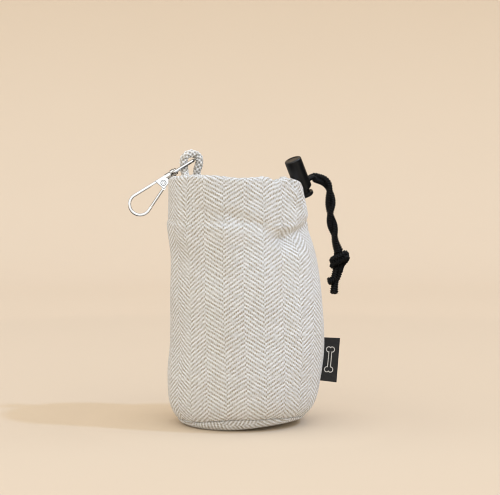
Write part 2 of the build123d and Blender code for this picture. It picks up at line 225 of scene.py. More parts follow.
def smooth_line(route, resolution=24):
    """Points on the open NURBS curve whose control points are the route, in millimetres."""
    data = bpy.data.curves.new("route", "CURVE")
    data.dimensions = "3D"
    data.resolution_u = resolution
    spline = data.splines.new("NURBS")
    spline.points.add(len(route) - 1)
    for point, place in zip(spline.points, route):
        point.co = (*(place * MM), 1)
    spline.order_u = 3
    spline.use_endpoint_u = True
    holder = add_object("route", data)
    graph = bpy.context.evaluated_depsgraph_get()
    mesh = bpy.data.meshes.new_from_object(holder.evaluated_get(graph), depsgraph=graph)
    line = np.array([v.co[:] for v in mesh.vertices]) / MM
    bpy.data.objects.remove(holder)
    bpy.data.curves.remove(data)
    bpy.data.meshes.remove(mesh)
    return line


def distances(line):
    """How far along the line each of its points is."""
    return np.concatenate([[0], np.cumsum(np.linalg.norm(np.diff(line, axis=0), axis=1))])


def resample(line, step):
    """The line again with evenly spaced points."""
    along = distances(line)
    places = np.linspace(0, along[-1], max(2, int(round(along[-1] / step)) + 1))
    return np.stack([np.interp(places, along, line[:, k]) for k in range(3)], 1)


def frames(line, start):
    """Tangents and two normals at each point, carried along without twisting."""
    tangents = np.gradient(line, axis=0)
    tangents /= np.linalg.norm(tangents, axis=1)[:, None]
    normals = np.zeros_like(line)
    normal = np.asarray(start, float)
    for k, tangent in enumerate(tangents):
        normal = normal - tangent * normal.dot(tangent)
        normal /= np.linalg.norm(normal)
        normals[k] = normal
    return tangents, normals, np.cross(tangents, normals)


def tube(name, line, radii, around=40, start=(0, 0, 1), relief=None, caps=True, unit=1.0):
    """Round tube along a line. relief(along, angle) stands out from its radius."""
    _, normals, sides = frames(line, start)
    along = distances(line)
    angles = np.arange(around) * 2 * np.pi / around
    radii = np.broadcast_to(radii, along.shape)
    reach = np.repeat(radii[:, None], around, 1)
    if relief is not None:
        reach = reach + relief(along[:, None], angles[None, :])
    ring = normals[:, None] * np.cos(angles)[None, :, None] + sides[:, None] * np.sin(angles)[None, :, None]
    points = line[:, None] + ring * reach[..., None]
    if caps:
        points = np.concatenate([
            np.repeat(line[:1, None], around, 1), line[0] + (points[:1] - line[0]) * 0.7, points,
            line[-1] + (points[-1:] - line[-1]) * 0.7, np.repeat(line[-1:, None], around, 1),
        ])
        along = np.concatenate([along[:1], along[:1], along, along[-1:], along[-1:]])
    turn = np.append(angles, 2 * np.pi) * radii.mean()
    weave = np.stack(np.broadcast_arrays(turn[None, :] * unit, along[:, None] * unit), 2)
    piece = surface(name, points, weave=weave)
    weld = piece.modifiers.new("weld", "WELD")
    weld.merge_threshold = 1e-6
    return apply_modifiers(piece)


def join(name, pieces):
    """One object from several."""
    bpy.ops.object.select_all(action="DESELECT")
    for piece in pieces:
        piece.select_set(True)
    bpy.context.view_layer.objects.active = pieces[0]
    bpy.ops.object.join()
    joined = bpy.context.view_layer.objects.active
    joined.name = name
    return joined


# ---------------------------------------------------------------- node helpers
class Field:
    """A number in a material's node tree, on which arithmetic adds Math nodes."""

    def __init__(self, tree, socket):
        self.tree = tree
        self.socket = socket

    def op(self, operation, *others):
        node = self.tree.nodes.new("ShaderNodeMath")
        node.operation = operation
        for slot, value in zip(node.inputs, (self, *others)):
            if isinstance(value, Field):
                self.tree.links.new(value.socket, slot)
            else:
                slot.default_value = value
        return Field(self.tree, node.outputs[0])

    def __add__(self, other):
        return self.op("ADD", other)

    def __sub__(self, other):
        return self.op("SUBTRACT", other)

    def __mul__(self, other):
        return self.op("MULTIPLY", other)

    def __truediv__(self, other):
        return self.op("DIVIDE", other)

    def below(self, limit):
        return self.op("LESS_THAN", limit)

    def floor(self):
        return self.op("FLOOR")

    def fraction(self):
        return self.op("FRACT")

    def modulo(self, period):
        return self.op("FLOORED_MODULO", period)

    def flipped(self):
        """One minus this."""
        return self * -1.0 + 1.0

    def pick(self, when_one, when_zero):
        """when_one where this is 1, when_zero where it is 0."""
        return self * (when_one - when_zero) + when_zero

    def hump(self):
        """A parabola over 0 to 1: 0 at both ends and 1 in the middle."""
        return (self * self.flipped()) * 4.0

    def between(self, low, high):
        """0 below low, 1 above high and smooth between."""
        node = self.tree.nodes.new("ShaderNodeMapRange")
        node.interpolation_type = "SMOOTHSTEP"
        node.inputs["From Min"].default_value = low
        node.inputs["From Max"].default_value = high
        self.tree.links.new(self.socket, node.inputs["Value"])
        return Field(self.tree, node.outputs["Result"])


class Material:
    """A Principled material and short ways to wire it."""

    def __init__(self, name, **sockets):
        self.data = bpy.data.materials.new(name)
        self.data.use_nodes = True
        self.tree = self.data.node_tree
        self.shader = self.tree.nodes["Principled BSDF"]
        for socket, value in sockets.items():
            self.shader.inputs[socket.replace("_", " ")].default_value = value

    def place(self, source="Object"):
        node = self.tree.nodes.new("ShaderNodeTexCoord")
        return node.outputs[source]

    def weave(self):
        """The two lengths of the piece's weave coordinates."""
        node = self.tree.nodes.new("ShaderNodeUVMap")
        node.uv_map = "weave"
        parts = self.tree.nodes.new("ShaderNodeSeparateXYZ")
        self.tree.links.new(node.outputs["UV"], parts.inputs[0])
        return Field(self.tree, parts.outputs[0]), Field(self.tree, parts.outputs[1])

    def edge_on(self):
        """0 where the surface faces the viewer, 1 where it is seen edge on."""
        node = self.tree.nodes.new("ShaderNodeLayerWeight")
        node.inputs["Blend"].default_value = 0.5
        return Field(self.tree, node.outputs["Facing"])

    def noise(self, scale, detail=2.0, source="Object", stretch=None):
        """Noise from 0 to 1; scale is in waves per metre of the object."""
        node = self.tree.nodes.new("ShaderNodeTexNoise")
        node.inputs["Scale"].default_value = scale
        node.inputs["Detail"].default_value = detail
        vector = self.place(source)
        if stretch is not None:
            scaler = self.tree.nodes.new("ShaderNodeVectorMath")
            scaler.operation = "MULTIPLY"
            scaler.inputs[1].default_value = stretch
            self.tree.links.new(vector, scaler.inputs[0])
            vector = scaler.outputs[0]
        self.tree.links.new(vector, node.inputs["Vector"])
        return Field(self.tree, node.outputs["Fac"])

    def random(self, first, second):
        """A number from 0 to 1 for each pair of whole numbers."""
        pair = self.tree.nodes.new("ShaderNodeCombineXYZ")
        self.tree.links.new((first + 0.5).socket, pair.inputs[0])
        self.tree.links.new((second + 0.5).socket, pair.inputs[1])
        node = self.tree.nodes.new("ShaderNodeTexWhiteNoise")
        node.noise_dimensions = "2D"
        self.tree.links.new(pair.outputs[0], node.inputs["Vector"])
        return Field(self.tree, node.outputs["Value"])

    def mix(self, share, low, high):
        """Colour from low to high by the share."""
        node = self.tree.nodes.new("ShaderNodeMix")
        node.data_type = "RGBA"
        self.tree.links.new(share.socket, node.inputs["Factor"])
        for slot, value in ((node.inputs[6], low), (node.inputs[7], high)):
            if isinstance(value, tuple):
                slot.default_value = (*value, 1)
            else:
                self.tree.links.new(value, slot)
        return node.outputs[2]

    def wire(self, socket, value):
        self.tree.links.new(getattr(value, "socket", value), self.shader.inputs[socket])

    def bump(self, height, depth):
        """Relief from a height of 0 to 1 that stands for the depth in millimetres."""
        node = self.tree.nodes.new("ShaderNodeBump")
        node.inputs["Distance"].default_value = depth * MM
        self.tree.links.new(height.socket, node.inputs["Height"])
        self.tree.links.new(node.outputs[0], self.shader.inputs["Normal"])


# ---------------------------------------------------------------- materials
LIGHT_YARN = (0.87, 0.895, 0.918)
DARK_YARN = (0.265, 0.23, 0.165)
BRAID_YARN = (0.83, 0.825, 0.80)


def herringbone(name, relief=0.30):
    """Two-and-two twill that turns back on itself every twelve threads, with a break at each turn.

    The first weave coordinate counts columns and the second is millimetres up the cloth.
    """
    m = Material(name, Roughness=0.9, Sheen_Weight=0.2, Sheen_Roughness=0.6)
    m.shader.inputs["Specular IOR Level"].default_value = 0.25
    across, up = m.weave()
    across = across + (m.noise(160, 1.0) - 0.5) * 0.07
    up = up + (m.noise(90, 2.0) - 0.5) * 1.8
    threads = 12.0
    column = across.floor()
    even = column.modulo(2.0).below(0.5)
    inside = across.fraction()
    toward = even.pick(inside.flipped(), inside) * threads
    warp = toward.floor()
    warp_part = toward.fraction()
    picks = up / PICK
    weft = picks.floor()
    weft_part = picks.fraction()
    step = (weft - warp + even * 2.0).modulo(4.0)
    light_over = step.below(1.5)
    second = step.below(0.5)
    light_along = (second + warp_part) * 0.5
    light_height = light_along.hump().op("POWER", 0.5) * weft_part.hump().op("POWER", 0.6)
    third = step.below(2.5).flipped()
    dark_along = (third + weft_part) * 0.5
    dark_width = ((warp_part - 0.5) * 1.25 + 0.5).op("MAXIMUM", 0.0).op("MINIMUM", 1.0)
    dark_height = dark_along.hump().op("POWER", 0.5) * dark_width.hump().op("POWER", 0.6)
    height = light_over.pick(light_height, dark_height * 0.75)
    crossing = m.random(column * threads + warp, weft)
    thread = m.random(weft, weft)
    uneven = crossing * 1.0 + thread * 0.4 + 0.15
    dark = light_over.flipped() * dark_height.between(0.10, 0.42)
    dark = (dark * uneven).op("MINIMUM", 1.0)
    grain = m.noise(2600, 2.0)
    patchy = m.noise(34, 3.0)
    pale = m.mix(crossing.between(0.0, 0.7), tuple(0.80 * c for c in LIGHT_YARN), LIGHT_YARN)
    deep = m.mix(grain.between(0.3, 0.7), DARK_YARN, tuple(1.35 * c for c in DARK_YARN))
    cloth = m.mix(dark, pale, deep)
    # darker and browner in soft random patches
    blotched = m.mix(patchy.between(0.35, 0.75) * 0.10, cloth, (0.62, 0.58, 0.52))
    shade = height.between(0.0, 0.5).flipped() * 0.20
    m.wire("Base Color", m.mix(shade, blotched, (0.34, 0.29, 0.23)))
    m.bump(height + grain * 0.25, relief)
    return m.data


def rolled_cloth():
    """The same yarns braided into a round cord: staggered beads, with painted shade in the gaps between
    them.
    """
    m = Material("rolled_cloth", Roughness=0.92, Sheen_Weight=0.2, Sheen_Roughness=0.6)
    m.shader.inputs["Specular IOR Level"].default_value = 0.25
    across, along = m.weave()
    first = (across + along) * (BEADS / LOOP_R)
    other = (across - along) * (BEADS / LOOP_R)
    height = (first.op("COSINE") + other.op("COSINE")) * 0.25 + 0.5
    full_turn = 2 * np.pi
    speck = m.random((first / full_turn + 0.5).floor(), (other / full_turn + 0.5).floor())
    grain = m.noise(2600, 2.0)
    pale = m.mix(grain.between(0.25, 0.75), tuple(0.90 * c for c in BRAID_YARN), BRAID_YARN)
    cloth = m.mix(speck.below(0.20) * 0.45, pale, DARK_YARN)
    # painted shade: the colour goes darker where the beads dip, in the gaps between them
    m.wire("Base Color", m.mix(height.between(0.15, 0.65).flipped() * 0.62, cloth, (0.27, 0.24, 0.195)))
    m.bump(height, 0.35)
    return m.data


def plain_weave(name, colour, thread, depth, roughness=0.9):
    """Plain weave of one colour, from the piece's place in space."""
    m = Material(name, Roughness=roughness, Sheen_Weight=0.2, Sheen_Roughness=0.6)
    across, up = m.weave()
    a = across / thread
    b = up / thread
    over = (a.floor() + b.floor()).modulo(2.0)
    height = over.pick(a.fraction().hump(), b.fraction().hump())
    patchy = m.noise(60, 3.0)
    # painted shade: a darker copy of the colour, laid where the threads dip between crossings
    deep = tuple(0.72 * c for c in colour)
    tint = m.mix(patchy.between(0.3, 0.7), tuple(0.92 * c for c in colour), colour)
    m.wire("Base Color", m.mix(height.between(0.0, 0.6).flipped() * 0.6, tint, deep))
    m.bump(height, depth)
    return m.data


def braided_cord():
    m = Material("braided_cord", Sheen_Weight=0.01, Sheen_Roughness=0.5)
    m.shader.inputs["Specular IOR Level"].default_value = 0.20
    fibres = m.noise(1500, 3.0)
    fine = m.noise(5200, 2.0)
    tint = m.mix(fibres.between(0.3, 0.75), (0.0012, 0.0011, 0.0011), (0.0048, 0.0044, 0.0044))
    m.wire("Base Color", tint)
    m.wire("Roughness", fine.between(0.2, 0.8) * 0.2 + 0.42)
    m.bump(fine + fibres, 0.12)
    return m.data


def bright_nickel():
    m = Material("bright_nickel", Metallic=1.0)
    smear = m.noise(220, 4.0)
    fine = m.noise(3000, 2.0, stretch=(1.0, 1.0, 0.15))
    plate = m.mix(smear.between(0.3, 0.8), (0.86, 0.87, 0.88), (0.80, 0.81, 0.82))
    # painted reflection: the plate goes dark where the wire is seen edge on, standing in for dark
    # surroundings mirrored at its edges
    m.wire("Base Color", m.mix(m.edge_on().between(0.10, 0.50), plate, (0.16, 0.155, 0.15)))
    m.wire("Roughness", smear * 0.08 + fine * 0.05 + 0.06)
    m.bump(fine, 0.006)
    return m.data


def spring_wire():
    m = Material("spring_wire", Metallic=1.0)
    fine = m.noise(4000, 2.0)
    m.wire("Base Color", m.mix(fine, (0.42, 0.42, 0.42), (0.56, 0.55, 0.53)))
    m.wire("Roughness", fine * 0.15 + 0.25)
    return m.data


def moulded_black():
    m = Material("moulded_black")
    m.shader.inputs["Specular IOR Level"].default_value = 0.5
    grain = m.noise(2400, 3.0)
    smear = m.noise(140, 3.0)
    m.wire("Base Color", m.mix(smear.between(0.3, 0.8), (0.0018, 0.0018, 0.0019), (0.0038, 0.0038, 0.0037)))
    m.wire("Roughness", smear * 0.16 + 0.30)
    m.bump(grain, 0.02)
    return m.data


def grey_board():
    m = Material("grey_board", Roughness=0.95)
    fibres = m.noise(900, 5.0)
    m.wire("Base Color", m.mix(fibres.between(0.3, 0.7), (0.33, 0.27, 0.20), (0.44, 0.37, 0.28)))
    m.bump(fibres, 0.08)
    return m.data


LABEL_LENGTH = 28.8


def woven_label():
    """Black damask with a plain bone drawn in pale thread, running up the label."""
    m = Material("woven_label", Roughness=0.62, Sheen_Weight=0.15, Sheen_Roughness=0.4)
    across, up = m.weave()
    rib = (up / 0.28).fraction().hump()
    warp = (across / 0.22).fraction().hump()
    middle = across - 5.6
    high = up - LABEL_LENGTH / 2
    ends = (high.op("ABSOLUTE") - 6.6)
    lobe = middle.op("ABSOLUTE") - 1.25
    knob = (ends * ends + lobe * lobe).op("SQRT") - 1.7
    shaft = middle.op("ABSOLUTE") - 1.05
    shaft = shaft.op("MAXIMUM", high.op("ABSOLUTE") - 6.6)
    bone = knob.op("MINIMUM", shaft)
    line = (bone.op("ABSOLUTE") - 0.27).between(-0.06, 0.06).flipped()
    pale = line * rib.between(0.05, 0.4)
    # painted shade and highlight: the black ground is darker between the threads and lighter on their
    # crowns
    ground = m.mix(rib * warp, (0.0035, 0.0033, 0.0032), (0.0105, 0.0100, 0.0095))
    m.wire("Base Color", m.mix(pale, ground, (0.72, 0.71, 0.68)))
    m.bump(rib * 0.6 + line * 0.6, 0.10)
    return m.data


def stitch_thread():
    m = Material("stitch_thread", Roughness=0.7, Sheen_Weight=0.2)
    ply = m.noise(2200, 2.0)
    m.wire("Base Color", m.mix(ply.between(0.3, 0.7), (0.55, 0.52, 0.47), (0.78, 0.75, 0.70)))
    m.bump(ply, 0.05)
    return m.data


CLOTH = herringbone("herringbone_cloth")
CORD = braided_cord()
NICKEL = bright_nickel()
BLACK = moulded_black()
THREAD = stitch_thread()


def finish_piece(piece, material, slot, body, *nodes):
    """Material, body and the CAD nodes that a piece stands for. The slot argument is not used."""
    piece.data.materials.clear()
    piece.data.materials.append(material)
    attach(piece, body)
    if nodes:
        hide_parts(*nodes)
    return piece


# ---------------------------------------------------------------- drawstring
def braid(along, angle):
    """Relief of a round braid: slanting ribs, and bundles that cross over and under each other."""
    climb = 2 * np.pi / 1.55
    ribs = 0.32 * np.cos(climb * along + 2 * angle)
    return ribs + 0.12 * (np.cos(5 * angle + climb * along) + np.cos(5 * angle - climb * along))


def fray(tip, direction, radius, count, length):
    """Loose fibres where a cord is cut."""
    fibres = []
    for _ in range(count):
        spread = rng.normal(0, 1, 3)
        spread -= direction * spread.dot(direction)
        spread /= np.linalg.norm(spread)
        root = tip + spread * radius * np.sqrt(rng.uniform(0, 1)) - direction * 0.7
        reach = direction * length * rng.uniform(0.5, 1.0)
        bend = spread * rng.uniform(0.05, 0.5) + rng.normal(0, 0.12, 3)
        line = np.array([root, root + reach * 0.5 + bend * 0.3, root + reach + bend])
        fibres.append(tube("fibre", line, np.array([0.13, 0.12, 0.07]), around=5, start=spread))
    return fibres


def tail_pair():
    """Lines of the two free strands, turned about the middle of the pair."""
    middle = resample(smooth_line(TAIL_ROUTE), 0.22)
    _, normals, sides = frames(middle, SIDE)
    along = distances(middle)
    turn = np.radians(np.interp(along, TWIST[:, 0], TWIST[:, 1]))
    window = np.hanning(15) / np.hanning(15).sum()
    turn = np.convolve(np.pad(turn, 7, mode="edge"), window, mode="valid")
    offset = normals * np.cos(turn)[:, None] + sides * np.sin(turn)[:, None]
    offset = offset * np.interp(along, (9, 13), (STRAND_OFFSET, PRESSED_OFFSET))[:, None]
    return middle + offset, middle - offset


def add_drawstring():
    rear_line, front_line = tail_pair()
    strands = []
    for name, line in (("strand_rear", rear_line), ("strand_front", front_line)):
        free = np.clip((distances(line) - 8.8) / 2.6, 0, 1)
        piece = tube(
            name, line, 1.48 + (STRAND_R - 1.48) * free, start=SIDE,
            relief=lambda along, angle: braid(along, angle) * free[:, None],
        )
        finish_piece(piece, CORD, "drawstring_cord", "pouch", "drawstring_" + name)
        strands.append((piece, line))
    parts = []
    for sign in (1, -1):
        places, lean = KNOT_TURNS[:, 0], KNOT_TURNS[:, 1]
        lean = lean / np.linalg.norm(lean, axis=1)[:, None]
        line = resample(smooth_line(KNOT_CENTRE + places + sign * 1.5 * lean), 0.22)
        parts.append(tube("turns", line, STRAND_R, start=(0, 1, 0), relief=braid))
    knot = finish_piece(join("cord_knot", parts), CORD, "drawstring_cord", "pouch", "drawstring_knot")
    for name, route, count in (("end_long", LONG_END_ROUTE, 90), ("end_short", SHORT_END_ROUTE, 60)):
        line = resample(smooth_line(route), 0.22)
        tip_at = distances(line)[-1]
        flare = np.interp(distances(line), (0, tip_at * 0.6, tip_at), (1.85, 2.1, 2.7))
        body = tube(name, line, flare, start=(0, 1, 0), relief=braid)
        direction = line[-1] - line[-3]
        direction /= np.linalg.norm(direction)
        fibres = fray(line[-1], direction, 1.8, count, 1.5)
        piece = join("cord_" + name, [body, *fibres])
        finish_piece(piece, CORD, "drawstring_cord", "pouch", "drawstring_" + name)
    for piece, line in strands:
        tuple(line[0] * MM)
        line * MM


add_drawstring()


# ---------------------------------------------------------------- body surface
def catmull(z, heights, values):
    """Smooth curve through values at the heights."""
    z = np.clip(z, heights[0], heights[-1])
    slopes = np.gradient(values, heights)
    k = np.clip(np.searchsorted(heights, z) - 1, 0, len(heights) - 2)
    span = heights[k + 1] - heights[k]
    t = (z - heights[k]) / span
    return (
        (2 * t**3 - 3 * t**2 + 1) * values[k] + (t**3 - 2 * t**2 + t) * span * slopes[k]
        + (-2 * t**3 + 3 * t**2) * values[k + 1] + (t**3 - t**2) * span * slopes[k + 1]
    )


def section(z):
    """Centre x and radius of the body at each height."""
    heights = BODY_SECTIONS[:, 0]
    return catmull(z, heights, BODY_SECTIONS[:, 1]), catmull(z, heights, BODY_SECTIONS[:, 2])


def turn_from(angle, middle):
    """Degrees from the middle angle, the short way round."""
    return (angle - middle + 180) % 360 - 180


def blob(angle, z, middle, height, wide, tall, lean=0.0):
    """A soft round patch on the wall. lean tips it: degrees round per millimetre up."""
    a = (turn_from(angle, middle) - lean * (z - height)) / wide
    b = (z - height) / tall
    return np.exp(-0.5 * (a**2 + b**2))


def crease(angle, z, start, end, width, fade=4.0, below=None):
    """A soft line from start to end, each (angle, height); widths in millimetres above and below it."""
    per_degree = 0.78
    ax, az = turn_from(angle, start[0]) * per_degree, z - start[1]
    dx, dz = (end[0] - start[0]) * per_degree, end[1] - start[1]
    length = np.hypot(dx, dz)
    along = (ax * dx + az * dz) / length
    off = (ax * -dz + az * dx) / length
    past = np.maximum(0, np.maximum(-along, along - length))
    spread = np.where(off > 0, width, below or width)
    return np.exp(-0.5 * (off / spread) ** 2) * np.exp(-0.5 * (past / fade) ** 2)


def rim_height(angle):
    a = np.radians(angle)
    uneven = 0.15 * np.cos(9 * a + 2.0) + 0.1 * np.cos(17 * a)
    uneven += 0.12 * np.cos(43 * a + 0.4) + 0.10 * np.cos(71 * a + 1.0)
    return round_profile(RIM_PROFILE, angle) + uneven


def round_profile(profile, angle):
    """Smooth curve round the body through the profile's (angle, value) points."""
    knots = np.array(profile, float)
    knots = np.concatenate([knots - (360, 0), knots, knots + (360, 0)])
    return catmull(np.asarray(angle, float), knots[:, 0], knots[:, 1])


def seam_height(angle):
    a = np.radians(angle)
    return round_profile(SEAM_PROFILE, angle) + 0.15 * np.cos(7 * a) + 0.12 * np.cos(13 * a + 2)


def floor_lift(angle, radius):
    """How far the base has come up off the floor."""
    share = np.clip((radius - 20) / 20, 0, 1)
    return round_profile(LIFT_PROFILE, angle) * share**2 * (3 - 2 * share)


def relief(angle, z):
    """How far the wall stands out from its plain shape: folds, dents, puckers and seams."""
    a = np.radians(angle)
    low = np.clip((z - 10) / 40, 0, 1)
    out = np.maximum(0, -np.cos(a)) * catmull(z, *LEFT_PROFILE.T)
    out += np.maximum(0, np.cos(a)) * catmull(z, *RIGHT_PROFILE.T)
    out += 0.4 + low * 0.4 * np.cos(2 * a + 0.03 * z)
    out += low * 0.45 * np.cos(5 * a - 0.055 * z + 1.0)
    out += low * 0.22 * np.cos(8 * a + 0.09 * z + 2.0)
    out += 0.25 * np.cos(11 * a + 0.06 * z) * np.clip((z - 60) / 60, 0, 1)
    # the corner under the cord lock: a bunched lobe, the hollow beside it and the dent below
    out += 2.6 * blob(angle, z, -33, 147, 12, 9)
    out += 1.0 * blob(angle, z, -16, 141, 10, 8)
    out += 0.8 * blob(angle, z, -52, 150, 6, 9)
    out -= 5.8 * crease(angle, z, (-40, 163), (-33, 156.5), 3.4, 2.0, below=0.8)
    out -= 4.8 * crease(angle, z, (-33, 156.5), (-25, 147), 3.0, 3.0, below=0.8)
    out += 1.6 * crease(angle, z, (-47, 162), (-28.5, 145), 1.7, 3.0)
    out -= 3.9 * crease(angle, z, (-50, 124.4), (-12, 130), 2.3, 6.0, below=5.0)
    out += 1.5 * blob(angle, z, -32, 113, 14, 6, 0.5)
    out += 1.2 * blob(angle, z, -34, 135, 14, 4, 0.5)
    # the long fold that runs into it from the front of the channel
    out -= 1.1 * crease(angle, z, (-118, 140.5), (-92, 138.5), 2.4, 3.0, below=4.0)
    out -= 1.0 * crease(angle, z, (-92, 138.5), (-70, 131), 2.4, 3.0, below=4.0)
    out -= 1.3 * crease(angle, z, (-70, 131), (-50, 124.4), 2.4, 3.0, below=4.0)
    out += 0.9 * blob(angle, z, -86, 128, 14, 4, 0.25)
    # soft folds lower down
    out -= 1.0 * crease(angle, z, (-66, 112), (-60, 58), 4.5, 14.0)
    out -= 0.8 * crease(angle, z, (-150, 116), (-118, 104), 4.0, 10.0)
    out += 1.0 * blob(angle, z, -172, 128, 16, 8)
    out += 0.7 * blob(angle, z, -100, 40, 18, 14)
    out -= 0.7 * blob(angle, z, -75, 66, 9, 16, 0.3)
    out -= 1.8 * crease(angle, z, (70, 128), (110, 112), 3.2, 9.0)
    out -= 1.1 * crease(angle, z, (160, 60), (120, 84), 4.0, 12.0)
    # puckers of the channel where the drawstring gathers it, and the stitched line below it
    gathered = np.exp(-0.5 * (turn_from(angle, EYELET_ANGLE + 16) / 24) ** 2)
    channel = np.clip((z - 131) / 8, 0, 1)
    out += channel * (0.06 + 0.75 * gathered) * np.cos(a * 22 + 0.04 * z)
    stitched = np.exp(-0.5 * ((z - 134.2) / 1.1) ** 2)
    out -= 0.55 * stitched * (1 + 0.25 * np.cos(a * 40))
    out += 0.35 * np.exp(-0.5 * ((z - 131.2) / 1.6) ** 2)
    # the side seam
    out -= 0.55 * np.exp(-0.5 * (turn_from(angle, 0) / 0.9) ** 2)
    # flat under the eyelet's flange
    near = np.exp(-0.5 * ((turn_from(angle, EYELET_ANGLE) * 0.77 / 7) ** 2 + ((z - EYELET_Z) / 7) ** 2))
    out *= 1 - np.clip(1.25 * near, 0, 1)
    # the drawstring inside the channel holds the cloth out
    held = np.exp(-0.5 * ((z - EYELET_Z + 1.2) / 2.0) ** 2)
    out += held * np.maximum(0, -0.9 - out)
    # drawn in at the base seam, so the wall bellies over it
    return out - 3.4 * np.exp(-np.maximum(0, z - seam_height(angle)) / 3.0)


def wall_point(angle, z, inset, share=1.0):
    """Points on the wall, drawn in from its outer face; share is how much relief they take."""
    x, r = section(z)
    r = r + relief(angle, z) * share - inset
    a = np.radians(angle)
    return np.stack(np.broadcast_arrays(x + r * np.cos(a), r * np.sin(a), z), -1)


def cloth_columns(angle, z):
    """Stripes round the wall from the stripe line; the cloth's two edges meet at the side seam."""
    x, r = section(z)
    line = -90 + np.degrees(np.arcsin((catmull(z, *STRIPE_LINE.T) - x) / r))
    return np.radians(angle - line) * (r + 0.6) / COLUMN_W


def near_eyelet(points):
    """How far each point is from the eyelet's axis."""
    away = points - EYELET
    away = away - (away @ OUT)[..., None] * OUT
    return np.linalg.norm(away, axis=-1)


def cut_hole(piece):
    """Opens the outer wall behind the eyelet."""
    mesh = piece.data
    centres = np.array([p.center[:] for p in mesh.polygons]) / MM
    outer = (centres - EYELET) @ OUT > -2.5
    drop = np.where((near_eyelet(centres) < EYELET_HOLE_R) & outer & (centres @ OUT > 0))[0]
    work = bmesh.new()
    work.from_mesh(mesh)
    work.faces.ensure_lookup_table()
    bmesh.ops.delete(work, geom=[work.faces[int(k)] for k in drop], context="FACES")
    work.to_mesh(mesh)
    work.free()


def add_wall():
    """The outer cloth: tucked into the base seam, up the wall, over the rim and down inside."""
    around = 360
    angle = np.linspace(-360, 0, around + 1)
    top = rim_height(angle) - FOLD_RISE
    seam = seam_height(angle)
    rows = []
    for inset, rise in ((2.4, 0.3), (1.2, 0.05), (0.4, 0.1)):
        rows.append(wall_point(angle, seam + rise, inset))
    for t in np.linspace(0, 1, 150) ** 1.15:
        rows.append(wall_point(angle, seam + 0.4 + t * (top - seam - 0.4), 0.0))
    upright = len(rows)
    for phi in np.linspace(0, np.pi, 14)[1:]:
        inset = HEM_DEPTH / 2 * (1 - np.cos(phi))
        edge = wall_point(angle, top, inset, 1 - 0.65 * inset / HEM_DEPTH)
        edge[:, 2] = top + FOLD_RISE * np.sin(phi)
        rows.append(edge)
    for t in np.linspace(0, 1, 26)[1:]:
        rows.append(wall_point(angle, top + t * (HEM_Z - top), HEM_DEPTH, 0.35 + 0.25 * t))
    points = np.array(rows)
    step = np.linalg.norm(np.diff(points, axis=0), axis=2)
    # cloth eases over shallow folds, so they take up only part of its length
    rise = np.abs(np.diff(points[..., 2], axis=0))
    step[:upright] = 0.35 * step[:upright] + 0.65 * rise[:upright]
    lengths = np.concatenate([np.zeros((1, around + 1)), np.cumsum(step, axis=0)])
    weave = np.stack([cloth_columns(angle, points[..., 2]), lengths], -1)
    piece = surface("cloth_wall", points[:, :-1], weave=weave)
    cut_hole(piece)
    thicken(piece, 1.0)
    finish_piece(piece, CLOTH, "herringbone_cloth", "pouch", "outer_panel", "hem_facing")


def base_rim_radius(angle):
    """Radius of the base where it meets the wall, from the base's own centre."""
    x, r = section(np.array(SEAM_Z))
    a = np.radians(angle)
    return r + relief(angle, seam_height(angle)) + (x - BASE_X) * np.cos(a)


def add_base():
    """Round base cloth with a rounded edge that turns up to the seam, lifted at the front right."""
    angle = np.linspace(-180, 180, 241)
    a = np.radians(angle)
    seam = seam_height(angle)
    rim = base_rim_radius(angle) - 0.5
    edge = rim - BASE_EDGE_R
    lift = floor_lift(angle, BASE_FLAT_R)
    rows = [(edge * share, floor_lift(angle, edge * share)) for share in np.linspace(0.001, 1, 26)]
    for phi in np.linspace(0, np.pi / 2, 14)[1:]:
        rise = (seam - 0.7 - lift) * (1 - np.cos(phi))
        rows.append((edge + (BASE_EDGE_R - 0.3) * np.sin(phi), lift + rise))
    for inset, drop in ((0.6, 0.25), (1.4, 0.0), (2.4, 0.0)):
        rows.append((rim - inset, seam - drop))
    points = np.array([
        np.stack(np.broadcast_arrays(BASE_X + r * np.cos(a), r * np.sin(a), z), -1) for r, z in rows
    ])
    step = np.linalg.norm(np.diff(points, axis=0), axis=2)
    reach = np.concatenate([np.zeros((1, len(a))), np.cumsum(step, axis=0)])
    # the base is cut with its stripes across the pouch
    cloth = np.stack([reach * np.sin(a) / COLUMN_W + 20.3, reach * np.cos(a) + 90], -1)
    piece = surface("cloth_base", points[:, :-1], weave=cloth)
    thicken(piece, 1.0)
    finish_piece(piece, CLOTH, "herringbone_cloth", "pouch", "outer_base")


def add_board():
    """Stiffening board that has taken the base's bend."""
    angle = np.linspace(-180, 180, 181)
    a = np.radians(angle)
    limit = base_rim_radius(angle) - 5.6
    low, high = 1.3, 4.2
    profile = [(t, low) for t in np.linspace(0.001, 0.985, 16)] + [(1.0, low + 0.5), (1.0, high - 0.5)]
    profile += [(t, high) for t in np.linspace(0.985, 0.001, 16)]
    rows = []
    for share, z in profile:
        r = limit * share
        height = z + floor_lift(angle, r)
        rows.append(np.stack([BASE_X + r * np.cos(a), r * np.sin(a), height], -1))
    piece = surface("stiffening_board", np.array(rows)[:, :-1])
    finish_piece(piece, grey_board(), "base_board", "pouch", "base_board")


